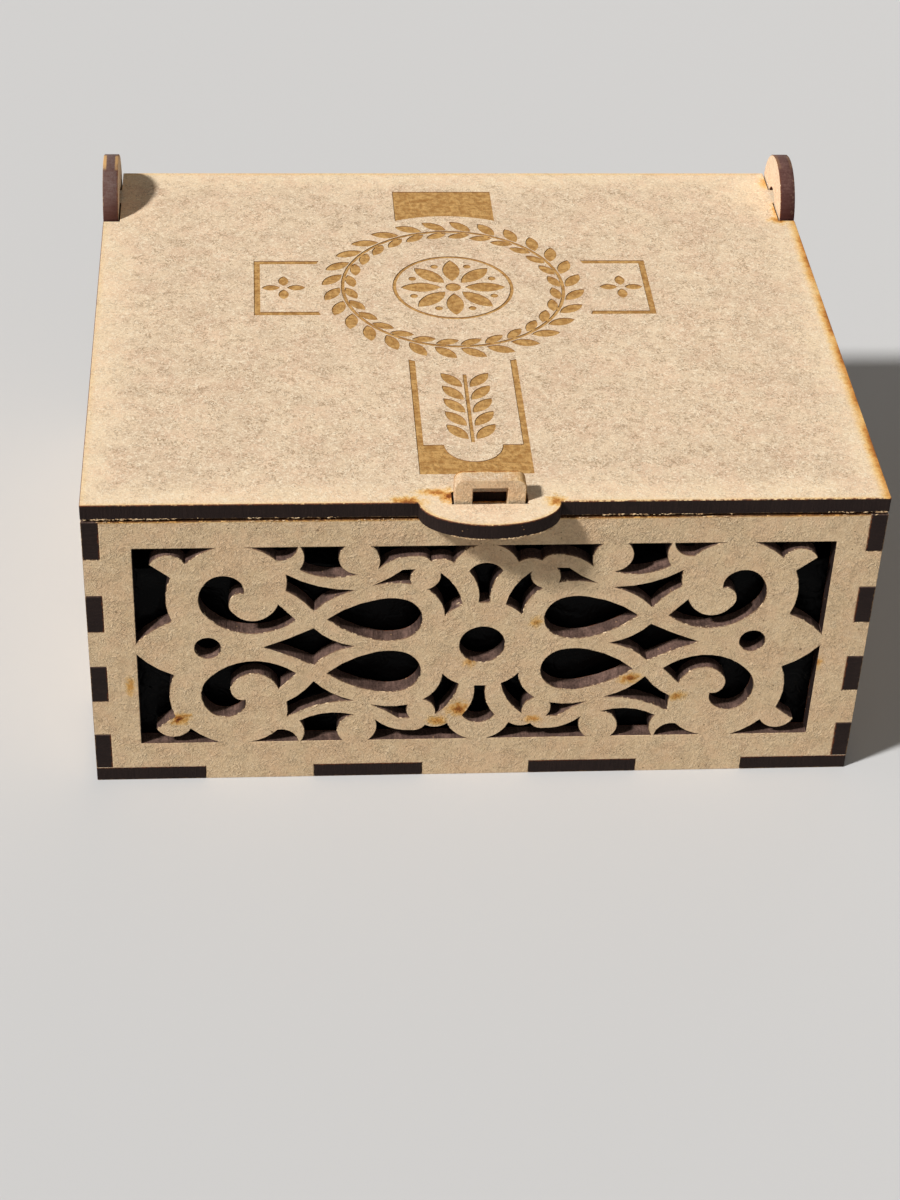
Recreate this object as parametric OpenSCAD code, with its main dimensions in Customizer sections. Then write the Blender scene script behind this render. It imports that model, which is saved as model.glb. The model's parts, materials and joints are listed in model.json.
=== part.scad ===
// Keepsake box of laser-cut hardboard: six finger-jointed boards and a black film liner.
// The lid turns on two stub pins, cut in one piece with it, in the round ears of the side boards.
// X runs along the front, Y towards the back and Z up; the box stands on Z = 0.

/* [Box] */
// Width over the side boards
box_w = 140; // [136:1:180]
// Depth over the front and back boards
box_d = 117; // [110:1:160]
// Thickness of the board that every piece is cut from
board = 3; // [2.8:0.1:3.2]

/* [Finger joints] */
// Height of each upright finger at the corners
finger = 8; // [8:0.5:11]
// Fingers along the foot of the front and of the back
front_fingers = 7; // [5:2:9]
// Fingers along the foot of each side
side_fingers = 5; // [3:2:7]

/* [Hinge] */
// Radius of the round ears
ear_r = 9.8; // [9.5:0.1:10]
// Width of the lid's stub pins, which are as thick as the board
pin_w = 5.5; // [4.5:0.1:6]
// Gap all round between a pin's corners and its hole
pin_play = 0.07; // [0.03:0.01:0.1]
// Gap between the lid and the ears
ear_play = 0.3; // [0.3:0.05:0.5]

/* [Lid] */
// Gap between the walls and the closed lid
lid_gap = 0.5; // [0.4:0.1:0.8]
// Width of the half-oval finger lip
lip_w = 24.6; // [20:0.2:30]
// Reach of the lip in front of the box
lip_depth = 6.75; // [5:0.25:9]
// Depth of the engraved decoration
engraving = 0.15; // [0.1:0.05:0.5]

/* [Latch tongue] */
// Width of the tongue on the front board
tongue_w = 12.3; // [10:0.1:14]
// Height of the tongue above the closed lid
tongue_rise = 4.5; // [4.4:0.1:7]
// Width of the window in the tongue
tongue_window_w = 6.1; // [4.5:0.1:7]
// Height of the window in the tongue
tongue_window_h = 4.7; // [4:0.1:5]
// Gap at each end of the lid's slot
slot_play = 0.35; // [0.3:0.05:0.5]

/* [Liner] */
// Height of the film's turned-up walls
liner_h = 44; // [30:1:46]
// Thickness of the film, with its creases
liner_t = 0.4; // [0.3:0.1:0.8]

/* [Hidden] */

hardboard = [0.83, 0.71, 0.55];
lid_board = [0.90, 0.79, 0.64];
film = [0.03, 0.03, 0.035];

// Upright fingers at a corner: the sides have the 1st, 3rd, 5th and 7th, the front has the others
wall_fingers = 7;
wall_h = board + wall_fingers * finger;

// The origin is under the middle of the whole box, with its lip
front_y = -(box_d - lip_depth) / 2;
half_w = box_w / 2;

// The hinge's axis is in the middle of the lid's thickness
lid_z = wall_h + lid_gap;
lid_top = lid_z + board;
axis_inset = 10;
axis_y = box_d - axis_inset;
axis_z = lid_z + board / 2;
hole_r = norm([pin_w, board]) / 2 + pin_play;
// The lid ends level with the ears at the back, and its notches clear them as it turns
lid_d = axis_y + ear_r;
notch_y = axis_y - ear_r - ear_play;
// The back board stops just under the path of the lid's tail, which swings down inside it
tail_r = norm([ear_r, board / 2]);
tail_play = 0.5;
back_h = axis_z - sqrt(pow(tail_r, 2) - pow(axis_inset - board, 2)) - tail_play;

tongue_top = lid_top + tongue_rise;
tongue_corner = 1.6;
// Part of the tongue's window that shows above the lid
window_showing = 2.8;
tongue_window_top = lid_top + window_showing;
// The slot's front wall swings back as the lid lifts, so it starts further forward
slot_front = 0.55;
slot_rear = 0.12;

// The fretwork fills a window midway between the base and the wall's top
window_w = 123.2;
window_h = 44.5;
window_z = (board + wall_h) / 2;

// Engraved cross: where its arms cross, from the middle and from the front face
cross_x = -1.6;
cross_y = 71.1;
cross_arm_w = 20.1;
cross_arm = 38.5;
cross_head = 37.8;
cross_foot = 62.7;
cross_line = 1.2;
// Its foot is filled up to this height
foot_fill = 9;
foot_scallop_r = 5.2;
// Length and width of each kind of leaf and petal, and the width of the thin lines
outer_leaf = [5.6, 2.5];
inner_leaf = [4.6, 2.1];
rosette_petal = [7.9, 3.4];
arm_petal = [3.5, 2];
sprig_leaf = [6, 2.5];
fine_line = 0.7;
// Wreath round the crossing: a ring with leaves that lean out and in, and the flower in each side arm
wreath_r = 21.4;
wreath_reach = 6.3;
wreath_leaves = 28;
outer_lean = 58;
inner_lean = 116;
flower_x = 32.8;
// Rosette in the wreath: an eye, a ring of petals with a seed between each two, and an outer ring
rosette_r = 11.4;
rosette_eye_r = 1.5;
petal_foot = 2.3;
seed_x = 8.4;
seed_r = 0.75;
// Sprig of paired leaves on the stem
sprig_foot = -53;
sprig_step = 4.2;
sprig_pairs = 5;
sprig_lean = 52;

// Steps on the curves
arc_step = 11;
overlap = 1;
$fn = 72;

// ---- Curves

function circle_centre(a, b, c) =
    let (
        d = 2 * (a.x * (b.y - c.y) + b.x * (c.y - a.y) + c.x * (a.y - b.y)),
        a2 = a * a,
        b2 = b * b,
        c2 = c * c
    )
    [
        (a2 * (b.y - c.y) + b2 * (c.y - a.y) + c2 * (a.y - b.y)) / d,
        (a2 * (c.x - b.x) + b2 * (a.x - c.x) + c2 * (b.x - a.x)) / d
    ];

// The arc from a through b to c, without c itself
function arc(a, b, c) =
    let (
        m = circle_centre(a, b, c),
        r = norm(a - m),
        start = atan2(a.y - m.y, a.x - m.x),
        stop = atan2(c.y - m.y, c.x - m.x),
        turn = cross(b - a, c - b) > 0 ? (stop - start + 720) % 360 : -((start - stop + 720) % 360),
        n = max(2, ceil(abs(turn) / arc_step))
    )
    [for (i = [0:n - 1]) m + r * [cos(start + turn * i / n), sin(start + turn * i / n)]];

// A closed outline from [corner, point on the arc to the next corner], or [corner] before a line
function outline(marks) =
    [
        for (i = [0:len(marks) - 1])
            let (
                here = marks[i][0],
                through = marks[i][1],
                next = marks[(i + 1) % len(marks)][0]
            )
            each is_undef(through) ? [here] : arc(here, through, next)
    ];

module left_and_right() {
    for (side = [0, 1])
        mirror([side, 0, 0]) children();
}

module up_and_down() {
    for (side = [0, 1])
        mirror([0, side, 0]) children();
}

// ---- Fretwork: openings measured from the middle of the window, outwards and upwards

// Square corner of the frame behind the scroll and its leaf
corner_gap = outline([
    [[61.6, 22.25]],
    [[47.4, 22.25], [50.2, 20.8]],
    [[52.5, 18.9], [55.5, 20.8]],
    [[58.7, 18.7], [56.9, 17.25]],
    [[55.2, 15.85], [56.15, 10.95]],
    [[55.2, 6.15], [58.5, 4.3]],
    [[61.6, 1.35]]
]);

// Inside of the big scroll, round its curled end
scroll_gap = outline([
    [[33.3, 6.15], [36.6, 4.1]],
    [[40.2, 3.2], [44.8, 4.0]],
    [[48.4, 6.5], [50.35, 10.6]],
    [[49.2, 14.3], [46.3, 16.05]],
    [[43.6, 15.15], [42.65, 13.85]],
    [[42.5, 12.25], [43.8, 12.1]],
    [[44.7, 11.2], [45.15, 9.5]],
    [[44.2, 7.6], [41.2, 5.95]],
    [[38.5, 6.75], [37.2, 8.0]],
    [[36.4, 9.6]]
]);

// Pointed drop beside the rosette
drop_gap = outline([
    [[27.7, 6.2], [23.1, 9.1]],
    [[18.6, 10.5], [16.5, 10.75]],
    [[14.4, 10.45], [12.0, 8.9]],
    [[10.9, 6.1], [11.8, 3.3]],
    [[14.4, 1.5], [16.8, 1.2]],
    [[19.0, 1.45], [23.5, 3.15]]
]);

// Diamond where the bands cross, on the window's long axis
diamond_gap = outline([
    [[39.1, 0], [34.3, 2.05]],
    [[30.2, 4.15], [27.0, 1.45]],
    [[23.2, 0], [27.0, -1.45]],
    [[30.2, -4.15], [34.3, -2.05]]
]);

// Between the scroll, its tail and the frame
tail_gap = outline([
    [[41.5, 22.25]],
    [[33.0, 22.25], [34.5, 19.9]],
    [[36.7, 19.5], [39.0, 21.35]]
]);

// Between the scroll's tail and the round knob
knob_gap = outline([
    [[32.4, 22.25]],
    [[24.85, 22.25], [25.9, 20.0]],
    [[22.9, 16.15], [27.4, 15.6]],
    [[32.6, 17.35], [31.75, 20.0]]
]);

// Three-pointed opening between the scroll and the bands
spur_gap = outline([
    [[34.95, 16.2], [29.4, 13.55]],
    [[23.2, 12.65], [26.9, 10.95]],
    [[30.15, 8.1], [32.3, 10.75]],
    [[35.0, 12.75], [34.8, 14.35]]
]);

// Long opening between the knob, the rosette's top lobe and the frame
shoulder_gap = outline([
    [[20.1, 22.25]],
    [[1.9, 22.25], [4.3, 20.75]],
    [[5.7, 18.6], [7.8, 19.4]],
    [[9.7, 18.9], [10.6, 19.8]],
    [[12.2, 20.1], [15.8, 19.55]],
    [[18.8, 17.55], [18.7, 20.0]]
]);

// Small pointed opening under it
spike_gap = outline([
    [[19.35, 13.85], [16.9, 15.2]],
    [[14.6, 17.0]],
    [[12.6, 17.05], [13.3, 15.4]],
    [[13.1, 13.95], [16.0, 14.3]]
]);

// The rosette's slanting and upright petals
slanting_petal_gap = outline([
    [[7.9, 16.15], [5.2, 12.9]],
    [[3.9, 9.1], [5.5, 8.2]],
    [[6.85, 6.85], [7.7, 10.0]],
    [[10.1, 12.65], [8.35, 14.0]]
]);
upright_petal_gap = outline([
    [[2.9, 16.6], [0, 18.3]],
    [[-2.9, 16.6], [-1.25, 13.4]],
    [[-0.95, 9.65]],
    [[0.95, 9.65], [1.25, 13.4]]
]);

rosette_hole_r = 4.05;
scroll_hole_r = 2.3;
scroll_hole_x = 49;

module fretwork_gaps() {
    up_and_down() {
        left_and_right() {
            polygon(corner_gap);
            polygon(scroll_gap);
            polygon(drop_gap);
            polygon(tail_gap);
            polygon(knob_gap);
            polygon(spur_gap);
            polygon(shoulder_gap);
            polygon(spike_gap);
            polygon(slanting_petal_gap);
        }
        polygon(upright_petal_gap);
    }
    left_and_right() {
        polygon(diamond_gap);
        translate([scroll_hole_x, 0]) circle(r = scroll_hole_r);
    }
    circle(r = rosette_hole_r);
}

// ---- Boards

// Stands a flat drawing of x and z up as a board whose front face is at y
module upright(y) {
    translate([0, front_y + y + board, 0])
        rotate([90, 0, 0])
            linear_extrude(board) children();
}

// Stands a flat drawing of y and z up as the left side board
module upright_left() {
    translate([-half_w, front_y, 0])
        rotate([90, 0, 90])
            linear_extrude(board) children();
}

// Every second tooth of a row, from the first or from the second
module teeth(first, count, length, depth) {
    for (i = [first:2:count - 1])
        translate([i * length, 0]) square([length, depth]);
}

// Notches up an edge from the base's top, for the fingers of the board round the corner
module upright_notches(first) {
    for (i = [first:2:wall_fingers - 1])
        translate([-overlap, board + i * finger])
            square([board + overlap, finger + (i == wall_fingers - 1 ? overlap : 0)]);
}

// Front or back board, without its openings
module cross_board(height) {
    difference() {
        translate([-half_w, board]) square([box_w, height - board]);
        left_and_right()
            translate([-half_w, 0]) upright_notches(0);
    }
    translate([-half_w, 0]) teeth(1, front_fingers, box_w / front_fingers, board + 0.01);
}

module tongue_outline() {
    half = tongue_w / 2;
    r = tongue_corner;
    round_in = r * (1 - sqrt(0.5));
    polygon(outline([
        [[-half, wall_h - overlap]],
        [[half, wall_h - overlap]],
        [[half, tongue_top - r], [half - round_in, tongue_top - round_in]],
        [[half - r, tongue_top]],
        [[r - half, tongue_top], [round_in - half, tongue_top - round_in]],
        [[-half, tongue_top - r]]
    ]));
}

module front_panel() {
    color(hardboard)
        upright(0)
            difference() {
                union() {
                    cross_board(wall_h);
                    tongue_outline();
                }
                translate([0, window_z]) fretwork_gaps();
                translate([-tongue_window_w / 2, tongue_window_top - tongue_window_h])
                    square([tongue_window_w, tongue_window_h]);
            }
}

module back_panel() {
    color(hardboard)
        upright(box_d - board) cross_board(back_h);
}

module side_board() {
    side_tooth = box_d / side_fingers;
    difference() {
        union() {
            translate([0, board]) square([box_d, wall_h - board]);
            translate([axis_y, axis_z]) circle(r = ear_r);
        }
        upright_notches(1);
        translate([box_d, 0]) mirror([1, 0]) upright_notches(1);
        translate([axis_y, axis_z]) circle(r = hole_r);
    }
    teeth(1, side_fingers, side_tooth, board + 0.01);
}

module left_side() {
    color(hardboard)
        upright_left() side_board();
}

module right_side() {
    mirror([1, 0, 0]) left_side();
}

module base_panel() {
    front_tooth = box_w / front_fingers;
    side_tooth = box_d / side_fingers;
    color(hardboard)
        translate([0, front_y, 0])
            linear_extrude(board)
                difference() {
                    translate([-half_w, 0]) square([box_w, box_d]);
                    for (y = [-overlap, box_d - board])
                        translate([-half_w, y])
                            teeth(1, front_fingers, front_tooth, board + overlap);
                    left_and_right()
                        for (i = [1:2:side_fingers - 1])
                            translate([-half_w - overlap, i * side_tooth])
                                square([board + overlap, side_tooth]);
                }
}

// ---- Lid

module lid_outline() {
    lip = [for (a = [180:-6:0]) [lip_w / 2 * cos(a), -lip_depth * sin(a)]];
    difference() {
        union() {
            translate([-half_w, 0]) square([box_w, lid_d]);
            polygon(concat(lip, [[lip_w / 2, overlap], [-lip_w / 2, overlap]]));
        }
        left_and_right() {
            translate([-half_w - overlap, notch_y])
                square([board + ear_play + overlap, axis_y - pin_w / 2 - notch_y]);
            translate([-half_w - overlap, axis_y + pin_w / 2])
                square([board + ear_play + overlap, ear_r]);
        }
        translate([-tongue_w / 2 - slot_play, -slot_front])
            square([tongue_w + 2 * slot_play, slot_front + board + slot_rear]);
    }
}

// A leaf or petal with its stalk end at the origin
module leaf(size) {
    polygon(outline([
        [[0, 0], [size.x / 2, -size.y / 2]],
        [[size.x, 0], [size.x / 2, size.y / 2]]
    ]));
}

module ring(r, width) {
    difference() {
        circle(r = r + width / 2);
        circle(r = r - width / 2);
    }
}

// The plain Latin cross, smaller all round by an inset
module cross_shape(inset) {
    half = cross_arm_w / 2 - inset;
    reach = cross_arm - inset;
    translate([-half, inset - cross_foot]) square([2 * half, cross_foot + cross_head - 2 * inset]);
    translate([-reach, -half]) square([2 * reach, 2 * half]);
}

// Outline of the cross, broken where the wreath goes round, with its head and foot filled solid
module cross_lines() {
    difference() {
        cross_shape(0);
        difference() {
            cross_shape(cross_line);
            translate([-cross_arm_w / 2, 0]) square([cross_arm_w, cross_head]);
            translate([-cross_arm_w / 2, -cross_foot]) square([cross_arm_w, foot_fill]);
        }
        circle(r = wreath_r + wreath_reach);
        translate([0, foot_fill - cross_foot]) circle(r = foot_scallop_r);
    }
}

// Four petals in each side arm
module arm_flowers() {
    left_and_right()
        translate([flower_x, 0])
            for (i = [0:3])
                rotate(i * 90) translate([fine_line, 0]) leaf(arm_petal);
}

module wreath() {
    gap = 0.6;
    ring(wreath_r, fine_line);
    for (i = [0:wreath_leaves - 1])
        rotate(i * 360 / wreath_leaves) {
            translate([wreath_r + gap, 0]) rotate(outer_lean) leaf(outer_leaf);
            translate([wreath_r - gap, 0]) rotate(inner_lean) leaf(inner_leaf);
        }
}

module rosette() {
    circle(r = rosette_eye_r);
    ring(rosette_r, fine_line);
    for (i = [0:7])
        rotate(i * 45) {
            translate([petal_foot, 0]) leaf(rosette_petal);
            rotate(22.5) translate([seed_x, 0]) circle(r = seed_r);
        }
}

module stem_sprig() {
    bare_stalk = 1;
    translate([-fine_line / 2, sprig_foot]) square([fine_line, sprig_pairs * sprig_step + bare_stalk]);
    for (i = [0:sprig_pairs - 1])
        translate([0, sprig_foot + bare_stalk + i * sprig_step])
            left_and_right() translate([fine_line, 0]) rotate(sprig_lean) leaf(sprig_leaf);
}

module lid_engraving() {
    translate([cross_x, cross_y]) {
        cross_lines();
        arm_flowers();
        wreath();
        rosette();
        stem_sprig();
    }
}

module lid() {
    color(lid_board)
        translate([0, front_y, lid_z])
            difference() {
                linear_extrude(board) lid_outline();
                translate([0, 0, board - engraving])
                    linear_extrude(engraving + overlap) lid_engraving();
            }
}

// ---- Liner

module liner() {
    gap = 0.2;
    outer = [box_w - 2 * (board + gap), box_d - 2 * (board + gap)];
    inner = [outer.x - 2 * liner_t, outer.y - 2 * liner_t];
    color(film)
        translate([0, front_y + box_d / 2, board])
            difference() {
                linear_extrude(liner_h) square(outer, center = true);
                translate([0, 0, liner_t])
                    linear_extrude(liner_h) square(inner, center = true);
            }
}

base_panel();
front_panel();
back_panel();
left_side();
right_side();
lid();
liner();
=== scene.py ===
"""A keepsake box of laser-cut hardboard: fretwork front, engraved lid on stub pins, black film liner."""
import json
import math
import random

import bpy
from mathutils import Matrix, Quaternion, Vector, noise

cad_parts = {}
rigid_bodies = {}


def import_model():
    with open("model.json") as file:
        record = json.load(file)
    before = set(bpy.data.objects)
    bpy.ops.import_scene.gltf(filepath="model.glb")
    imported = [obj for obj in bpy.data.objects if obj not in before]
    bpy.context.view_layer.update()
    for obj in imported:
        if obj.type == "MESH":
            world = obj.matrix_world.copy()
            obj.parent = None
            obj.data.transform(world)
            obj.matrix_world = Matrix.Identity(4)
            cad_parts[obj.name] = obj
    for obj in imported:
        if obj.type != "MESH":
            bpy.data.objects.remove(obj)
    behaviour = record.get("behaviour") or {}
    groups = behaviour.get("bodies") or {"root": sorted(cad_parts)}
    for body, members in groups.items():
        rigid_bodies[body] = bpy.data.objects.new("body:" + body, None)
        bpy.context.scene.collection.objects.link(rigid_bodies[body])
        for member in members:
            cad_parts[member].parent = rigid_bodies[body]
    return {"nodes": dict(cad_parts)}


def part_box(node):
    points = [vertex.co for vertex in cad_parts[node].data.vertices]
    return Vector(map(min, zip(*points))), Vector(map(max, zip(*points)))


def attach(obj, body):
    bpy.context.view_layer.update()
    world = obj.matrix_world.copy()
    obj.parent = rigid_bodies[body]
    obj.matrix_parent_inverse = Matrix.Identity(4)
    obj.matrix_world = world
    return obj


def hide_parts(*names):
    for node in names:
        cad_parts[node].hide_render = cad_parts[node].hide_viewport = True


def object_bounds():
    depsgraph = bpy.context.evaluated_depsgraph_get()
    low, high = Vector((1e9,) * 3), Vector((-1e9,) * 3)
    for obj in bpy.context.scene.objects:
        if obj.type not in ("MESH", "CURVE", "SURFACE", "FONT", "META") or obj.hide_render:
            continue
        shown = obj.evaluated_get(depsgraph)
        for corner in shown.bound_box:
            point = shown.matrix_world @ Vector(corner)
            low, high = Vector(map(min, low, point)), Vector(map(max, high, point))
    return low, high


for leftover in list(bpy.data.objects):
    bpy.data.objects.remove(leftover)

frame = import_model()
cad_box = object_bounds()
boards = frame["nodes"]


# ---- Camera, floor and lights -------------------------------------------------------------------
# The photograph's viewpoint, 0.5 m away and a little left of the middle, looking 38 degrees down.
# The box stands on a plain pale floor, lit from the left, with weak lights in front and behind.

camera_place = Vector((-0.0389, -0.4009, 0.3127))
camera_aim = Vector((-0.0066, -0.0599, 0.0450))
camera_roll = math.radians(2.62)

camera = bpy.data.objects.new("camera", bpy.data.cameras.new("camera"))
camera.data.lens = 74.9
camera.data.sensor_width = 36
camera.location = camera_place
aim = (camera_aim - camera_place).to_track_quat("-Z", "Y")
camera.rotation_euler = (aim @ Quaternion((0, 0, 1), camera_roll)).to_euler()
bpy.context.scene.collection.objects.link(camera)
bpy.context.scene.camera = camera
bpy.context.scene.view_settings.view_transform = "Standard"


class Varying:
    """A value that changes from point to point, or from ray to ray: sums on it add the nodes for them."""

    def __init__(self, socket):
        self.socket = socket
        self.tree = socket.id_data

    def __add__(self, other):
        return calc("ADD", self, other)

    def __sub__(self, other):
        return calc("SUBTRACT", self, other)

    def __rsub__(self, other):
        return calc("SUBTRACT", other, self)

    def __mul__(self, other):
        return calc("MULTIPLY", self, other)

    def __truediv__(self, other):
        return calc("DIVIDE", self, other)

    def __gt__(self, other):
        return calc("GREATER_THAN", self, other)

    def __lt__(self, other):
        return calc("LESS_THAN", self, other)

    def __abs__(self):
        return calc("ABSOLUTE", self)


def add(tree, kind, inputs=None, **settings):
    """Adds a node, sets its options, then fills its inputs with plain or varying values."""
    node = tree.nodes.new(kind)
    for option, value in settings.items():
        setattr(node, option, value)
    for name, value in (inputs or {}).items():
        if isinstance(value, Varying):
            tree.links.new(value.socket, node.inputs[name])
        else:
            node.inputs[name].default_value = value
    return node


def feed(node, name, value):
    """Joins a varying value to a named input."""
    node.id_data.links.new(value.socket, node.inputs[name])


def tree_of(*values):
    """The node tree that the varying ones among some values are in."""
    return next(value.tree for value in values if isinstance(value, Varying))


def calc(operation, *values):
    """One sum on up to three values, of which at least one varies."""
    inputs = dict(enumerate(values))
    return Varying(add(tree_of(*values), "ShaderNodeMath", inputs, operation=operation).outputs[0])


def highest(first, second):
    """The greater of two values at each point."""
    return calc("MAXIMUM", first, second)


def lowest(first, second):
    """The smaller of two values at each point."""
    return calc("MINIMUM", first, second)


def tint(amount, under, over, blend="MIX"):
    """Lays one colour over another by an amount from 0 to 1."""
    mix = add(tree_of(amount, under, over), "ShaderNodeMix", {0: amount, 6: under, 7: over},
              data_type="RGBA", blend_type=blend)
    return Varying(mix.outputs[2])


def colour(red, green, blue):
    """A colour read as 0 to 255 on a screen, as the shader's linear values."""
    parts = [(c / 255 / 12.92) if c < 11 else ((c / 255 + 0.055) / 1.055) ** 2.4 for c in (red, green, blue)]
    return (*parts, 1.0)


def blank_material(name):
    """A new material with its tree, its shader and nothing else."""
    material = bpy.data.materials.new(name)
    material.use_nodes = True
    tree = material.node_tree
    tree.nodes.clear()
    shader = add(tree, "ShaderNodeBsdfPrincipled")
    add(tree, "ShaderNodeOutputMaterial", {"Surface": Varying(shader.outputs[0])})
    return material, tree, shader


def mesh_piece(name, points, faces, material, smooth=False):
    """A new piece from points and faces, in the frame's metres."""
    mesh = bpy.data.meshes.new(name)
    mesh.from_pydata(points, [], faces)
    mesh.polygons.foreach_set("use_smooth", [smooth] * len(mesh.polygons))
    mesh.materials.append(material)
    piece = bpy.data.objects.new(name, mesh)
    bpy.context.scene.collection.objects.link(piece)
    return piece


def seen_by_camera(tree):
    """1 where the camera looks, also in a reflection or through glass; 0 for light on its way to the box."""
    ray = add(tree, "ShaderNodeLightPath").outputs
    seen_indirectly = highest(Varying(ray["Is Glossy Ray"]), Varying(ray["Is Transmission Ray"]))
    return highest(Varying(ray["Is Camera Ray"]), seen_indirectly)


floor_reach = 12.0
floor_below_box = 0.00002
floor_as_lit = colour(146, 145, 144)
floor_as_seen = colour(201, 200, 199)


def floor_finish():
    """A plain matt floor, pale to the camera and less so to the light that it throws back on the box."""
    material, tree, shader = blank_material("studio_floor")
    feed(shader, "Base Color", tint(seen_by_camera(tree), floor_as_lit, floor_as_seen))
    shader.inputs["Roughness"].default_value = 0.9
    return material


quarters = ((-1, -1), (1, -1), (1, 1), (-1, 1))
corners = [(x * floor_reach, y * floor_reach, -floor_below_box) for x, y in quarters]
mesh_piece("studio_floor", corners, [(0, 1, 2, 3)], floor_finish())

light_target = Vector((0, 0, 0.04))


def studio_light(name, kind, place, strength, **shape):
    """A lamp turned towards the box: an area lamp's strength is in watts, a sun's in watts a square metre."""
    lamp = bpy.data.lights.new(name, kind)
    lamp.energy = strength
    for setting, value in shape.items():
        setattr(lamp, setting, value)
    light = bpy.data.objects.new(name, lamp)
    light.location = place
    light.rotation_euler = (light_target - Vector(place)).to_track_quat("-Z", "Y").to_euler()
    bpy.context.scene.collection.objects.link(light)


studio_light("key_light", "SUN", (-2.12, -1.007, 2.41), 3.98, angle=math.radians(6))
studio_light("front_light", "AREA", (0.25, -1.3, 0.55), 1.0, size=0.9)
studio_light("rear_light", "AREA", (0.5, 1.4, 0.40), 1.6, size=0.9)

world = bpy.data.worlds.new("studio")
world.use_nodes = True
background = world.node_tree.nodes["Background"]
background.inputs["Color"].default_value = colour(243, 238, 231)
light_from_all_round = 0.17
brighter_where_seen = 0.56
strength = seen_by_camera(world.node_tree) * brighter_where_seen + light_from_all_round
feed(background, "Strength", strength)
bpy.context.scene.world = world


# ---- Base panel ---------------------------------------------------------------------------------
# The bottom board: 3 mm hardboard, cut by laser like all the others, with teeth round its edge.
# It lies inside the feet of the four walls, and its rough side faces down.

board_thickness_mm = 3.0


def fade(value, start, stop):
    """Runs smoothly from 0 at start to 1 at stop."""
    ramp = add(value.tree, "ShaderNodeMapRange", {"Value": value, "From Min": start, "From Max": stop},
               interpolation_type="SMOOTHSTEP")
    return Varying(ramp.outputs["Result"])


def calc_vector(operation, first, second=(0, 0, 0)):
    """One sum on two vectors that gives a vector."""
    node = add(first.tree, "ShaderNodeVectorMath", {0: first, 1: second}, operation=operation)
    return Varying(node.outputs[0])


def stretched(vector, times):
    """A vector made so many times as long."""
    inputs = {0: vector, "Scale": times}
    node = add(tree_of(vector, times), "ShaderNodeVectorMath", inputs, operation="SCALE")
    return Varying(node.outputs[0])


def along(vector, direction):
    """How far a vector reaches in a direction."""
    node = add(vector.tree, "ShaderNodeVectorMath", {0: vector, 1: direction}, operation="DOT_PRODUCT")
    return Varying(node.outputs["Value"])


def split(vector):
    """A vector's x, y and z."""
    return [Varying(part) for part in add(vector.tree, "ShaderNodeSeparateXYZ", {0: vector}).outputs]


def grain(point, per_mm, detail=2.0, rough=0.5, bend=0.0, seed=0):
    """Noise over a point in millimetres, with so many waves per millimetre."""
    shifted = calc_vector("ADD", point, (seed * 31.7, seed * 17.3, seed * 23.9))
    waves = {"Vector": shifted, "Scale": per_mm, "Detail": detail, "Roughness": rough, "Distortion": bend}
    return Varying(add(point.tree, "ShaderNodeTexNoise", waves).outputs[0])


def strands(point, per_mm, width, cover, seed):
    """Short curved fibres: thin contour lines of one noise, broken up by another."""
    off_line = abs(grain(point, per_mm, detail=1.0, bend=1.0, seed=seed) - 0.5)
    line = fade(off_line, width, width * 0.35)
    gaps = fade(grain(point, per_mm * 1.6, seed=seed + 0.5), cover + 0.05, cover - 0.03)
    return line * gaps


def scattered(point, per_mm, draw):
    """Random cells: the distance from the nearest one's middle, in cells, and that cell's random number."""
    cells = add(point.tree, "ShaderNodeTexVoronoi", {"Vector": point, "Scale": per_mm}).outputs
    numbers = add(point.tree, "ShaderNodeSeparateColor", {0: Varying(cells["Color"])}).outputs
    return Varying(cells["Distance"]), Varying(numbers[draw])


def effect(name, takes, gives):
    """Starts a shader node group: its tree, what it takes by name, and the node for what it gives."""
    tree = bpy.data.node_groups.new(name, "ShaderNodeTree")
    for title, kind in takes.items():
        tree.interface.new_socket(title, in_out="INPUT", socket_type="NodeSocket" + kind)
    for title, kind in gives.items():
        tree.interface.new_socket(title, in_out="OUTPUT", socket_type="NodeSocket" + kind)
    taken = add(tree, "NodeGroupInput").outputs
    return tree, {title: Varying(taken[title]) for title in takes}, add(tree, "NodeGroupOutput")


def placed(group, inputs):
    """Places an effect among the nodes of what it is given; its outputs by name."""
    node = add(tree_of(*inputs.values()), "ShaderNodeGroup", inputs, node_tree=group)
    return {output.name: Varying(output) for output in node.outputs}


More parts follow.
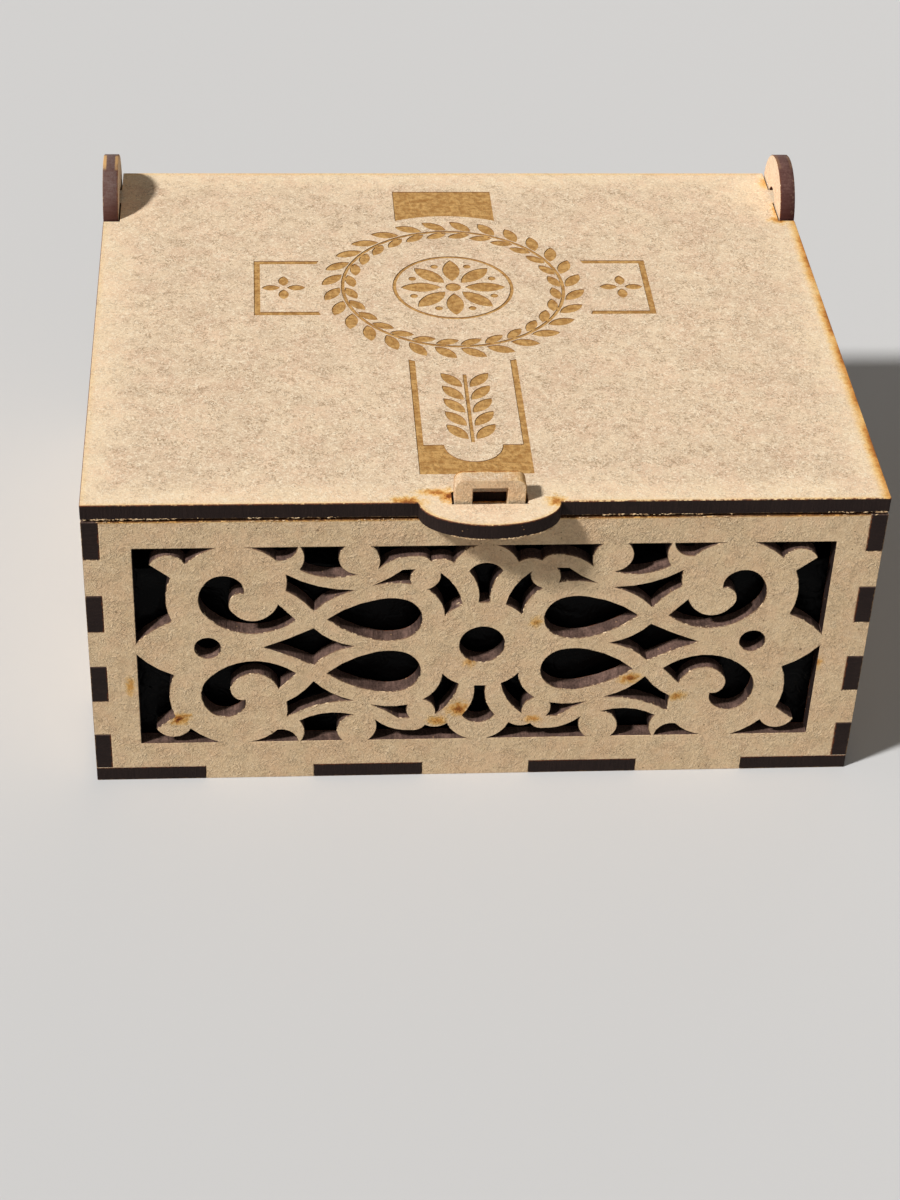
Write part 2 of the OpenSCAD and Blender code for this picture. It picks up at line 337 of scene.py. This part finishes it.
def hardboard_face():
    """Pressed wood fibre: cloudy patches, pale and dark strands, fine dust and a few dark specks of bark."""
    takes = {"Point": "Vector", "Board": "Color", "Cloud": "Color", "Pale Fibre": "Color",
             "Dark Fibre": "Color", "Clean": "Float", "Rough": "Float"}
    tree, take, give = effect("hardboard face", takes, {"Color": "Color", "Height": "Float"})
    point = take["Point"]
    dirty = 1.0 - take["Clean"]
    pulpy = lowest(take["Rough"], 1.0)

    broad = fade(grain(point, 0.10, detail=3, rough=0.6), 0.36, 0.64)
    patch = fade(grain(point, 0.5, detail=4, rough=0.7, seed=1), 0.38, 0.66)
    face = tint((broad * 0.32 + patch * 0.42) * dirty, take["Board"], take["Cloud"])
    rosy = fade(grain(point, 0.16, detail=3, rough=0.65, seed=10), 0.42, 0.62)
    face = tint(rosy * 0.5, face, colour(255, 244, 243), blend="MULTIPLY")

    pale = highest(strands(point, 0.55, width=0.030, cover=0.50, seed=3),
                   strands(point, 1.15, width=0.055, cover=0.52, seed=4))
    dark = highest(strands(point, 0.7, width=0.034, cover=0.50, seed=5),
                   strands(point, 1.35, width=0.065, cover=0.50, seed=6))
    hair = strands(point, 0.4, width=0.020, cover=0.42, seed=12)
    clear = 1.25 - pulpy
    tangle = fade(grain(point, 0.3, detail=3, rough=0.6, seed=13), 0.40, 0.62) * 0.6 + 0.4
    face = tint(pale * clear * 0.72, face, take["Pale Fibre"])
    face = tint(highest(dark, hair) * (dirty * 0.50 + 0.17) * tangle * clear, face, take["Dark Fibre"])
    dust = fade(grain(point, 2.6, detail=2, rough=0.7, seed=15), 0.34, 0.66)
    face = tint(dust * 0.22, face, colour(206, 188, 176), blend="MULTIPLY")

    for per_mm, rare, size in ((0.24, 0.72, 0.085), (0.85, 0.66, 0.17)):
        distance, pick = scattered(point, per_mm, draw=0)
        speck = fade(distance, size, size * 0.4) * fade(pick, rare, rare + 0.2)
        face = tint(speck * dirty, face, take["Dark Fibre"])
    feed(give, "Color", face)

    ragged = pulpy * tangle
    pulp = grain(point, 1.6, detail=3, rough=0.6, bend=0.6, seed=7)
    relief = (pulp * 0.08 + patch * 0.04) * ragged
    torn = highest(take["Rough"] - 1.0, 0.0)
    lumps = grain(point, 0.9, detail=3, rough=0.6, bend=1.0, seed=14)
    threads = (pale - dark) * (ragged * 0.065 + 0.006)
    feed(give, "Height", relief + torn * lumps * 0.3 + threads)
    return tree


browned_arris = colour(118, 66, 38)


def charred_edge():
    """The laser's cut: soot with fine lines along the beam, browned at one arris and torn at the other."""
    takes = {"Face": "Color", "Point": "Vector", "Normal": "Vector", "Rough Side": "Vector",
             "Rough Face": "Float", "Soot": "Color", "Ash And Sheen": "Color", "Arris": "Color", "Torn": "Float"}
    tree, take, give = effect("charred edge", takes, {"Color": "Color", "Height": "Float", "Edge": "Float"})
    point = take["Point"]
    through = along(point, take["Rough Side"])
    from_rough = take["Rough Face"] - through
    facing = along(take["Normal"], take["Rough Side"])
    tear = grain(point, 1.6, detail=3, rough=0.7, seed=4) - 0.5
    edge = fade(tear * 0.6 + abs(facing), 0.84, 0.74)

    drawn_out = calc_vector("ADD", point, stretched(take["Rough Side"], through * -0.88))
    beam = fade(grain(drawn_out, 1.8, detail=4, rough=0.7), 0.35, 0.68)
    patch = fade(grain(point, 0.35, detail=3, seed=2), 0.40, 0.62)
    # Cut faces that face up get the paler ash colour: painted sheen for the light they catch, with some ash.
    painted_sheen_facing_up = fade(split(take["Normal"])[2], 0.15, 0.95)
    speckle = fade(grain(point, 2.4, detail=3, rough=0.7, seed=6), 0.36, 0.64)
    ash_and_painted_sheen = (beam * 0.35 + speckle * 0.35 + 0.3) * (patch * 0.4 + 0.6) * (painted_sheen_facing_up * 0.95 + 0.05)
    char = tint(ash_and_painted_sheen, take["Soot"], take["Ash And Sheen"])

    uneven = grain(point, 1.4, detail=3, rough=0.65, seed=3) * 0.7 - 0.35
    near_smooth = fade((board_thickness_mm - from_rough) + uneven, 0.26, 0.0)
    near_rough = fade(from_rough + uneven, 0.20, 0.0)
    char = tint(near_rough * 0.4, char, take["Arris"])
    char = tint(near_smooth * 0.85, char, browned_arris)
    distance, pick = scattered(point, 0.9, draw=1)
    crumb = fade(distance, 0.15, 0.06) * fade(pick, 0.76, 0.86)
    char = tint(crumb * take["Torn"], char, take["Arris"])
    on_arris = fade(facing, 0.2, 0.5) * fade(facing, 0.95, 0.80)
    flake = on_arris * fade(grain(point, 0.8, detail=4, rough=0.7, seed=5), 0.56, 0.62)
    char = tint(flake * take["Torn"], char, take["Face"])
    feed(give, "Color", tint(edge, take["Face"], char))
    feed(give, "Height", beam * 0.05)
    feed(give, "Edge", edge)
    return tree


def scorched():
    """Hardboard that the beam's heat has browned: cream, ochre, orange-brown and at last black."""
    tree, take, give = effect("scorched", {"Face": "Color", "Amount": "Float"}, {"Color": "Color"})
    ramp = add(tree, "ShaderNodeValToRGB", {0: take["Amount"]})
    stops = [(0.0, (255, 255, 255)), (0.25, (255, 244, 218)), (0.50, (246, 218, 160)),
             (0.72, (214, 164, 98)), (0.88, (148, 94, 54)), (1.0, (62, 36, 26))]
    while len(ramp.color_ramp.elements) < len(stops):
        ramp.color_ramp.elements.new(0.5)
    for element, (place, shade) in zip(ramp.color_ramp.elements, stops):
        element.position = place
        element.color = colour(*shade)
    feed(give, "Color", tint(1.0, take["Face"], Varying(ramp.outputs[0]), blend="MULTIPLY"))
    return tree


def burnt_spot():
    """A cloudy spot round a centre, of a given size each way, strongest in the middle."""
    takes = {"Point": "Vector", "Centre": "Vector", "Size": "Vector", "Strength": "Float"}
    tree, take, give = effect("burnt spot", takes, {"Amount": "Float"})
    away = calc_vector("DIVIDE", calc_vector("SUBTRACT", take["Point"], take["Centre"]), take["Size"])
    distance = Varying(add(tree, "ShaderNodeVectorMath", {0: away}, operation="LENGTH").outputs["Value"])
    wander = grain(take["Point"], 0.9, detail=5, rough=0.7, bend=0.5) - 0.5
    feed(give, "Amount", fade(wander * 1.7 + distance, 1.0, 0.0) * take["Strength"])
    return tree


hardboard_face_group = hardboard_face()
charred_edge_group = charred_edge()
scorched_group = scorched()
burnt_spot_group = burnt_spot()

smooth_side = colour(236, 211, 178)
smooth_cloud = colour(206, 180, 151)
rough_side = colour(240, 211, 170)
rough_cloud = colour(226, 195, 153)
pale_fibre = colour(250, 233, 204)
dark_fibre = colour(152, 124, 94)
soot = colour(28, 18, 16)
# Paler char for cut faces that face up: partly ash, partly painted sheen.
ash_and_sheen = colour(130, 102, 90)
arris = colour(176, 138, 98)


def surface_of(tree):
    """The point in millimetres and the surface's direction, both in the piece's own space."""
    place = add(tree, "ShaderNodeTexCoord").outputs
    return stretched(Varying(place["Object"]), 1000.0), Varying(place["Normal"])


def burns(point, spots):
    """The strongest of several burnt spots, each given as centre, size and strength."""
    amount = 0.0
    for centre, size, strength in spots:
        spot = placed(burnt_spot_group, {
            "Point": point, "Centre": centre, "Size": size, "Strength": strength})
        amount = highest(spot["Amount"], amount)
    return amount


def browned(face, heat):
    """A face that has taken so much heat."""
    return placed(scorched_group, {"Face": face, "Amount": heat})["Color"]


def pressed_face(point, board, cloud, clean, rough):
    """Hardboard's fibres in two colours, by how clean and how rough it is; gives Color and Height."""
    return placed(hardboard_face_group, {
        "Point": point, "Board": board, "Cloud": cloud, "Pale Fibre": pale_fibre, "Dark Fibre": dark_fibre,
        "Clean": clean, "Rough": rough})


def laser_cut(face, point, normal, rough_side_faces, rough_face_at, char=(soot, ash_and_sheen, arris), torn=1.0):
    """The face with the board's cut edges charred round it; gives Color, Height and Edge."""
    return placed(charred_edge_group, {
        "Face": face, "Point": point, "Normal": normal, "Rough Side": rough_side_faces,
        "Rough Face": rough_face_at, "Soot": char[0], "Ash And Sheen": char[1], "Arris": char[2], "Torn": torn})


def bumped(height):
    """A height in millimetres as the shader's normal."""
    bump = add(height.tree, "ShaderNodeBump", {"Height": height, "Strength": 1.0, "Distance": 0.001})
    return Varying(bump.outputs[0])


def finish_board(shader, board_colour, face, cut):
    """Joins a board's colour, relief and sheen to its shader: the cut edges shine a little more."""
    feed(shader, "Base Color", board_colour)
    heights = {0: cut["Edge"], 2: face["Height"], 3: cut["Height"]}
    height = add(board_colour.tree, "ShaderNodeMix", heights, data_type="FLOAT").outputs[0]
    feed(shader, "Normal", bumped(Varying(height)))
    dulls = {"Value": cut["Edge"], "To Min": 0.82, "To Max": 0.7}
    feed(shader, "Roughness", Varying(add(board_colour.tree, "ShaderNodeMapRange", dulls).outputs[0]))
    shader.inputs["Specular IOR Level"].default_value = 0.16


def board_finish(name, rough_side_faces, rough_face_at, spots=(), torn_spots=(), recoloured=None):
    """Hardboard, smooth on one side and pulpy on the other, with charred edges and burns."""
    material, tree, shader = blank_material(name)
    point, normal = surface_of(tree)
    pulpy = fade(along(normal, rough_side_faces), -0.2, 0.2)
    rough = pulpy * 0.75 + 0.25
    if torn_spots:
        rough = rough + burns(point, torn_spots)
    board_side = tint(pulpy, smooth_side, rough_side)
    cloud_side = tint(pulpy, smooth_cloud, rough_cloud)
    face = pressed_face(point, board_side, cloud_side, clean=0.0, rough=rough)
    face_colour = browned(face["Color"], burns(point, spots)) if spots else face["Color"]
    cut = laser_cut(face_colour, point, normal, rough_side_faces, rough_face_at)
    board_colour = recoloured(cut["Color"], point, normal) if recoloured else cut["Color"]
    finish_board(shader, board_colour, face, cut)
    return material


worn_width = 0.00012
sharp_from = math.radians(50)
engraving_half_width_mm = 46.0
engraving_half_length_mm = 54.0
engraving_middle_mm = 4.0
engraving_margin = 0.0005
engraving_foot = 0.0003


def sharp_outline():
    """Picks the edges that wear: sharp ones, and not those of the shallow engraving on the lid's top."""
    tree = bpy.data.node_groups.new("sharp outline", "GeometryNodeTree")
    tree.interface.new_socket("Geometry", in_out="INPUT", socket_type="NodeSocketGeometry")
    tree.interface.new_socket("Geometry", in_out="OUTPUT", socket_type="NodeSocketGeometry")
    turn = Varying(add(tree, "GeometryNodeInputMeshEdgeAngle").outputs["Unsigned Angle"])
    x, y, z = split(Varying(add(tree, "GeometryNodeInputPosition").outputs[0]))
    beside = highest(abs(x) > engraving_half_width_mm / 1000 + engraving_margin,
                     abs(y - engraving_middle_mm / 1000) > engraving_half_length_mm / 1000 + engraving_margin)
    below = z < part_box("lid")[1].z - engraving_foot
    wear = highest(beside, below) * (turn > sharp_from)
    board = Varying(add(tree, "NodeGroupInput").outputs[0])
    weigh = add(tree, "GeometryNodeStoreNamedAttribute", {
        "Geometry": board, "Name": "bevel_weight_edge", "Value": wear}, data_type="FLOAT", domain="EDGE")
    add(tree, "NodeGroupOutput", {0: Varying(weigh.outputs[0])})
    return tree


sharp_outline_group = sharp_outline()


def dress(node, material):
    """Gives a board its finish, and takes the knife edge off its cut outline."""
    board = boards[node]
    for slot in board.material_slots:
        slot.material = material
    weld = board.modifiers.new("joined_faces", "WELD")
    weld.merge_threshold = 0.000002
    sharp = board.modifiers.new("sharp_outline", "NODES")
    sharp.node_group = sharp_outline_group
    bevel = board.modifiers.new("worn_arris", "BEVEL")
    bevel.width = worn_width
    bevel.segments = 1
    bevel.use_clamp_overlap = False
    bevel.limit_method = "WEIGHT"


dress("base_panel", board_finish("base_hardboard", (0, 0, -1), 0.0))


# ---- Front panel --------------------------------------------------------------------------------
# The pierced board: fretwork cut by laser through 3 mm hardboard, its rough side outward, with the
# tongue that comes up through the lid. The beam browned its face in spots, and left the tongue pale.

front_face_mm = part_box("front_panel")[0].y * 1000
left_end_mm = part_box("front_panel")[0].x * 1000
wall_top_mm = 59.0
spot_depth_mm = 1.6
tongue_edge = colour(222, 192, 155)
tongue_cloud = colour(197, 164, 127)
tongue_pale_above_mm = (59.6, 60.2)
tongue_browner_right_mm = (1.5, 7.0)
tongue_browner_rear_mm = (front_face_mm + 2.2, front_face_mm + board_thickness_mm)


def on_front(x, z, width, height, strength):
    """A spot on the front face, placed from its left end and its foot."""
    return (left_end_mm + x, front_face_mm, z), (width, spot_depth_mm, height), strength


front_burns = [
    on_front(15.7, 14.6, 3.0, 2.0, 0.95), on_front(66.3, 16.0, 2.8, 2.6, 0.85),
    on_front(62.5, 13.2, 2.6, 1.6, 0.7), on_front(80.2, 13.2, 2.6, 1.4, 0.72),
    on_front(97.4, 22.6, 3.2, 1.7, 0.85), on_front(106.5, 18.2, 2.4, 1.5, 0.72),
    on_front(7.0, 22.5, 1.2, 3.4, 0.6), on_front(68.0, 27.0, 1.8, 1.8, 0.6),
    on_front(131.5, 25.5, 1.8, 2.0, 0.65), on_front(90.5, 36.5, 1.8, 1.8, 0.6),
    on_front(79.5, 36.0, 1.8, 1.8, 0.6),
]
torn_patches = [
    on_front(16, 54.5, 4, 3, 1.2), on_front(55, 56, 7, 3.5, 1.2), on_front(94, 56, 8, 3.5, 1.2),
]


def scorched_rim():
    """Browning that runs in from a cut edge, uneven along it."""
    takes = {"Point": "Vector", "Distance": "Float", "Reach": "Float", "Strength": "Float"}
    tree, take, give = effect("scorched rim", takes, {"Amount": "Float"})
    wander = grain(take["Point"], 0.8, detail=4, rough=0.65, seed=1) - 0.5
    near = fade(wander * (take["Reach"] * 0.6) + take["Distance"], take["Reach"], 0.0)
    uneven = fade(grain(take["Point"], 0.09, detail=2, seed=2), 0.30, 0.60)
    feed(give, "Amount", near * (take["Strength"] * (uneven * 0.4 + 0.6)))
    return tree


scorched_rim_group = scorched_rim()


def rim_heat(point, distance, reach, strength):
    """The heat that a cut edge took, by the distance from it."""
    return placed(scorched_rim_group, {
        "Point": point, "Distance": distance, "Reach": reach, "Strength": strength})["Amount"]


def tongue_and_rim(charred, point, normal):
    """Browns the wall's top rim, and leaves the tongue's cut edges pale but for those right and behind."""
    x, y, z = split(point)
    wander = grain(point, 0.9, detail=3) - 0.5
    to_right = fade(wander * 3.0 + x, *tongue_browner_right_mm)
    to_rear = fade(wander * 0.8 + y, *tongue_browner_rear_mm)
    face = pressed_face(point, tongue_edge, tongue_cloud, clean=0.3, rough=0.5)
    pale = browned(face["Color"], highest(to_right * 0.45, to_rear * 0.9))
    rimmed = browned(charred, rim_heat(point, abs(wall_top_mm - z), reach=0.5, strength=0.6))
    above_lid = fade(wander * 0.6 + z, *tongue_pale_above_mm)
    on_cut = fade(abs(split(normal)[1]), 0.95, 0.80)
    return tint(above_lid * on_cut, rimmed, pale)


front_rough_side = (0, -1, 0)
front_hardboard = board_finish("front_hardboard", front_rough_side, -front_face_mm, front_burns,
                               torn_patches, recoloured=tongue_and_rim)
dress("front_panel", front_hardboard)


def torn_fibre_finish():
    """Bare wood fibre, brown to cream."""
    material, tree, shader = blank_material("torn_fibre")
    point, normal = surface_of(tree)
    shade = fade(grain(point, 0.8, detail=3), 0.35, 0.65)
    feed(shader, "Base Color", tint(shade, colour(168, 132, 92), colour(226, 196, 154)))
    feed(shader, "Normal", bumped(grain(point, 6.0, detail=2) * 0.05))
    shader.inputs["Roughness"].default_value = 0.85
    return material


torn_finish = torn_fibre_finish()
foremost_mm = cad_box[0][1] * 1000
frayed_half_mm = 69.5
fibre_half_mm = (0.12, 0.45)
fibre_thick_mm = (0.05, 0.13)
faces_each = 6


def sliver(chance, foot, outward):
    """One torn fibre's five corners: its two pointed ends, and three round its middle."""
    lean = outward * chance.uniform(-0.1, 0.35)
    droop = Vector((0, 0, chance.uniform(-0.4, 0.3)))
    reach = (Vector((-outward.y, outward.x, 0)) + lean + droop).normalized()
    centre = foot + outward * chance.uniform(-0.03, 0.06) + Vector((0, 0, chance.uniform(-0.16, 0.10)))
    half = chance.uniform(*fibre_half_mm)
    thick = chance.uniform(*fibre_thick_mm)
    centre.y = max(centre.y, foremost_mm + thick)
    side = reach.cross(Vector((0, 0, 1))).normalized()
    corners = [centre - reach * half, centre + reach * half]
    for turn in range(3):
        angle = math.tau * (turn / 3 + chance.uniform(-0.08, 0.08))
        across = reach.cross(side)
        corners.append(centre + side * thick * math.cos(angle) + across * thick * math.sin(angle))
    for corner in corners:
        corner.y = max(corner.y, foremost_mm)
    return corners


def torn_fibres(name, seed, count, route, everywhere=(0, 0)):
    """Short torn fibres along a cut arris, in clusters, partly sunk in the board."""
    chance = random.Random(seed)
    points, faces = [], []
    while len(faces) < count * faces_each:
        x = chance.uniform(-frayed_half_mm, frayed_half_mm)
        cluster = noise.noise((x * 0.11, seed, 0.5)) + 0.5 * noise.noise((x * 0.5, seed, 3.5))
        if cluster + 0.6 * (abs(x - everywhere[0]) < everywhere[1]) < chance.uniform(-0.1, 0.35):
            continue
        first = len(points)
        points += sliver(chance, *route(x))
        for turn in range(3):
            here, following = first + 2 + turn, first + 2 + (turn + 1) % 3
            faces += [(first, here, following), (first + 1, following, here)]
    return mesh_piece(name, [point / 1000 for point in points], faces, torn_finish)


def front_top_arris(x):
    """The front panel's upper arris at x, and the way its face looks."""
    return Vector((x, front_face_mm, wall_top_mm)), Vector(front_rough_side)


front_fray = torn_fibres("front_fray", 5, 70, front_top_arris)
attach(front_fray, "case")


# ---- Back panel ---------------------------------------------------------------------------------
# The rear board, plain and lower than the others, finger-jointed and glued between the two sides.

back_face_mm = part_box("back_panel")[1].y * 1000
dress("back_panel", board_finish("back_hardboard", (0, 1, 0), back_face_mm))


# ---- Side boards --------------------------------------------------------------------------------
# Left and right boards, each with the round ear and its hinge hole cut in one piece with it. The
# left ear's cut edge is a purplish brown, the right one's darker.

side_face_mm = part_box("left_side")[0].x * -1000
ear_foot_mm = (wall_top_mm, 62.5)
ear_top_mm = (70.2, 70.7)
ear_face = colour(240, 213, 181)
ear_strip = colour(214, 168, 112)
# Each ear's char: soot, paler ash with painted sheen where the edge faces up, and arris.
left_char = (colour(86, 52, 44), colour(132, 112, 106), colour(140, 104, 78))
right_char = (colour(70, 37, 33), colour(122, 90, 82), colour(98, 64, 50))


def side_finish(name, outward, ear_char, strip_strength):
    """A side board: the ear is cleaner, its cut edge browner, with a pale strip by each arris at its top."""
    material, tree, shader = blank_material(name)
    point, normal = surface_of(tree)
    pulpy = fade(along(normal, outward), -0.2, 0.2)
    height_up = split(point)[2]
    on_ear = fade(height_up, *ear_foot_mm)
    inner_side = tint(on_ear, smooth_side, ear_face)
    board_side = tint(pulpy, inner_side, rough_side)
    cloud_side = tint(pulpy, smooth_cloud, rough_cloud)
    clean = on_ear * (0.8 - pulpy * 0.8)
    face = pressed_face(point, board_side, cloud_side, clean, rough=pulpy * 0.75 + 0.25)
    char = [tint(on_ear, plain, paler) for plain, paler in zip((soot, ash_and_sheen, arris), ear_char)]
    cut = laser_cut(face["Color"], point, normal, outward, side_face_mm, char, torn=0.3)

    from_middle = along(point, outward) + (board_thickness_mm / 2 - side_face_mm)
    wander = grain(point, 0.6, detail=3, seed=12) - 0.5
    by_arris = fade(wander * 0.5 + abs(from_middle), 0.75, 1.0)
    at_top = fade(wander * 0.8 + height_up, *ear_top_mm)
    strip = by_arris * at_top * (cut["Edge"] * strip_strength)
    finish_board(shader, tint(strip, cut["Color"], ear_strip), face, cut)
    return material


dress("left_side", side_finish("left_hardboard", (-1, 0, 0), left_char, strip_strength=0.95))
dress("right_side", side_finish("right_hardboard", (1, 0, 0), right_char, strip_strength=0.15))


# ---- Lid ----------------------------------------------------------------------------------------
# The top board, smooth side up, lightly engraved by the same laser. Its finger lip, the slot for
# the tongue, the notches round the ears and the two stub pins it turns on are cut in one piece.

lid_low, lid_high = [corner * 1000 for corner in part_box("lid")]
lid_front_mm = front_face_mm
lip_half_mm = 12.3
lip_reach_mm = lid_front_mm - lid_low.y
clean_band = colour(244, 219, 183)
engraved_dark = colour(158, 112, 58)
engraved_light = colour(206, 162, 100)
engraved_wall = colour(138, 96, 50)
burn_depth_mm = 4.0


def on_lid(x, y, width, length, strength):
    """A spot on the lid, placed from its left end and its front edge."""
    return (lid_low.x + x, lid_front_mm + y, lid_high.z), (width, length, burn_depth_mm), strength


lid_burns = [
    on_lid(60.8, 3.0, 5.0, 1.6, 0.80), on_lid(62.9, 1.9, 2.4, 3.0, 0.92),
    on_lid(55.8, 0.2, 4.6, 2.4, 0.85), on_lid(81.4, 0.2, 2.6, 2.4, 0.80),
    on_lid(136.8, 97.0, 3.0, 2.2, 0.78), on_lid(136.8, 100.6, 1.3, 4.6, 0.66),
    on_lid(136.4, 112.5, 1.8, 4.0, 0.55),
]
cleaned_by_ears = [on_lid(134, 110, 16, 13, 1.0), on_lid(5, 100, 8, 14, 0.8)]


def lid_edges(point):
    """How far a point is from the lid's front edge and lip, and from its right, left and rear edges."""
    x, y, z = split(point)
    behind = y - lid_front_mm
    across = x / lip_half_mm
    forward = behind / lip_reach_mm
    from_lip = (1.0 - calc("SQRT", across * across + forward * forward)) * lip_reach_mm
    return highest(behind, from_lip), lid_high.x - x, x - lid_low.x, lid_high.y - y


def lid_heat(point, from_front, from_right, from_left, from_rear):
    """The heat that the lid took in spots and along its edges, most along the right one."""
    heat = burns(point, lid_burns)
    rims = ((from_right, 2.5, 0.84), (from_left, 1.5, 0.16), (from_rear, 1.4, 0.3), (from_front, 0.8, 0.35))
    for distance, reach, strength in rims:
        heat = highest(heat, rim_heat(point, distance, reach, strength))
    return heat


def engraving(point, up):
    """Where the design's field is, where its floor is, its browned colour there, and how it is pitted."""
    x, y, z = split(point)
    beyond = highest(abs(x) - engraving_half_width_mm,
                     abs(y - engraving_middle_mm) - engraving_half_length_mm)
    field = fade(beyond, 1.0, 0.0) * up
    sunk = field * fade(z, lid_high.z - 0.02, lid_high.z - 0.10)
    drawn_out = add(point.tree, "ShaderNodeMapping", {"Vector": point, "Scale": (0.25, 2.2, 1.0)}).outputs[0]
    streaks = fade(grain(Varying(drawn_out), 1.0, detail=3, rough=0.6, seed=8), 0.34, 0.66)
    mottle = fade(grain(point, 0.9, detail=4, rough=0.65, seed=9), 0.36, 0.64)
    toned = tint(streaks * 0.3 + mottle * 0.7, engraved_dark, engraved_light)
    return field, sunk, toned, (mottle * 0.08 + streaks * 0.03) * sunk


def lid_finish():
    """Smooth hardboard, cleaner and browned by turns along its cut edges, with the brown engraving."""
    material, tree, shader = blank_material("lid_hardboard")
    point, normal = surface_of(tree)
    up = fade(split(normal)[2], -0.2, 0.2)
    from_front, from_right, from_left, from_rear = lid_edges(point)
    nearest = lowest(lowest(from_front, from_rear), lowest(from_left, from_right))
    wander = grain(point, 0.22, detail=4, rough=0.65, seed=4) - 0.5
    clean = highest(fade(wander * 12.0 + nearest, 10.0, 1.0), burns(point, cleaned_by_ears))
    upper_board = tint(clean, smooth_side, clean_band)
    face = pressed_face(point, tint(up, rough_side, upper_board), tint(up, rough_cloud, smooth_cloud),
                        clean=clean * 0.75, rough=1.0 - up * 0.75)
    heat = lid_heat(point, from_front, from_right, from_left, from_rear) * (up * 0.7 + 0.3)

    field, sunk, toned, pits = engraving(point, up)
    decorated = tint(sunk, browned(face["Color"], heat), toned)
    cut = laser_cut(decorated, point, normal, (0, 0, -1), -lid_low.z)
    engraved = tint(cut["Edge"] * 0.6, decorated, engraved_wall)
    face["Height"] = face["Height"] + pits
    finish_board(shader, tint(field, cut["Color"], engraved), face, cut)
    return material


dress("lid", lid_finish())


def lid_lower_arris(x):
    """The lid's lower front arris at x, round the lip, and the way its edge looks."""
    if abs(x) >= lip_half_mm * 0.98:
        return Vector((x, lid_front_mm, lid_low.z + 0.12)), Vector((0, -1, 0))
    foot = Vector((x, lid_front_mm, lid_low.z + 0.06))
    drop = lip_reach_mm * math.sqrt(1 - (x / lip_half_mm) ** 2)
    outward = Vector((x / lip_half_mm ** 2, -drop / lip_reach_mm ** 2, 0)).normalized()
    return foot - Vector((0, drop, 0)), outward


lid_fray = torn_fibres("lid_fray", 11, 260, lid_lower_arris, everywhere=(0, 11))
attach(lid_fray, "lid_body")


# ---- Liner --------------------------------------------------------------------------------------
# Thin black glossy film, folded into an open tray that lines the case, and crumpled: it shows through
# the fretwork as black with soft glints, its near-black colour partly painted shade for the box's inside.
# Its ragged top edge stands a little below the wall tops.

film_low, film_high = [corner * 1000 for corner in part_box("liner")]
film_gap = 0.12
film_cell = 2.0
film_thickness = 0.00005


def crumple(x, y, z):
    """How far the film stands off at a point: sharp creases between flat facets, up to about 1 mm."""
    broad = abs(noise.noise((x * 0.085, y * 0.085, z * 0.085)))
    small = abs(noise.noise((x * 0.21 + 40, y * 0.21, z * 0.21)))
    return min(1.15, 1.7 * broad + 0.35 * small)


def film_floor(columns, rows):
    """The tray's floor: its points, its faces, and each point's number by column and row."""
    left, front = film_low.x + film_gap, film_low.y + film_gap
    width, depth = film_high.x - film_low.x - 2 * film_gap, film_high.y - film_low.y - 2 * film_gap
    points, faces, index = [], [], {}
    for i in range(columns + 1):
        for j in range(rows + 1):
            x, y = left + width * i / columns, front + depth * j / rows
            inside = 0 if i in (0, columns) or j in (0, rows) else 1
            index[i, j] = len(points)
            points.append(Vector((x, y, film_low.z + film_gap + inside * crumple(x, y, 0))))
    for i in range(columns):
        for j in range(rows):
            faces.append((index[i, j], index[i + 1, j], index[i + 1, j + 1], index[i, j + 1]))
    return points, faces, index


def film_tray():
    """The film's floor and its four walls as one mesh, from a grid of cells about 2 mm wide."""
    columns = round((film_high.x - film_low.x - 2 * film_gap) / film_cell)
    rows = round((film_high.y - film_low.y - 2 * film_gap) / film_cell)
    levels = round((film_high.z - film_low.z) / film_cell)
    points, faces, index = film_floor(columns, rows)
    rim = [(i, 0) for i in range(columns)] + [(columns, j) for j in range(rows)]
    rim += [(i, rows) for i in range(columns, 0, -1)] + [(0, j) for j in range(rows, 0, -1)]
    below = [index[place] for place in rim]
    for level in range(1, levels + 1):
        here = []
        for i, j in rim:
            x, y = points[index[i, j]].x, points[index[i, j]].y
            z = film_low.z + film_gap + (film_high.z - film_low.z - film_gap) * level / levels
            if level == levels:
                z -= 0.1 + 2.4 * abs(noise.noise((x * 0.13, y * 0.13, 7.5)))
            inward = Vector(((i == 0) - (i == columns), (j == 0) - (j == rows), 0)).normalized()
            here.append(len(points))
            points.append(Vector((x, y, z)) + inward * crumple(x, y, z))
        for k in range(len(rim)):
            following = (k + 1) % len(rim)
            faces.append((below[k], here[k], here[following], below[following]))
        below = here
    return [point / 1000 for point in points], faces


def film_finish():
    """Black plastic film, glossier in patches, with fine creases, and darker than real film as painted shade.
    """
    material, tree, shader = blank_material("black_film")
    point, normal = surface_of(tree)
    shade = fade(grain(point, 0.12, detail=3), 0.35, 0.65)
    # Darker than any real black film: painted shade for the inside of the box, over the film's own black.
    feed(shader, "Base Color", tint(shade, colour(2, 2, 3), colour(6, 6, 7)))
    haze = {"Value": grain(point, 0.3, detail=3, seed=1), "To Min": 0.22, "To Max": 0.40}
    feed(shader, "Roughness", Varying(add(tree, "ShaderNodeMapRange", haze).outputs[0]))
    creases = abs(grain(point, 0.32, detail=2, bend=0.6, seed=2) - 0.5)
    feed(shader, "Normal", bumped(creases * 0.5))
    shader.inputs["Specular IOR Level"].default_value = 0.045
    return material


film = mesh_piece("liner_film", *film_tray(), film_finish(), smooth=True)
film_skin = film.modifiers.new("film_skin", "SOLIDIFY")
film_skin.thickness = film_thickness
film_skin.offset = 0
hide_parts("liner")
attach(film, "case")
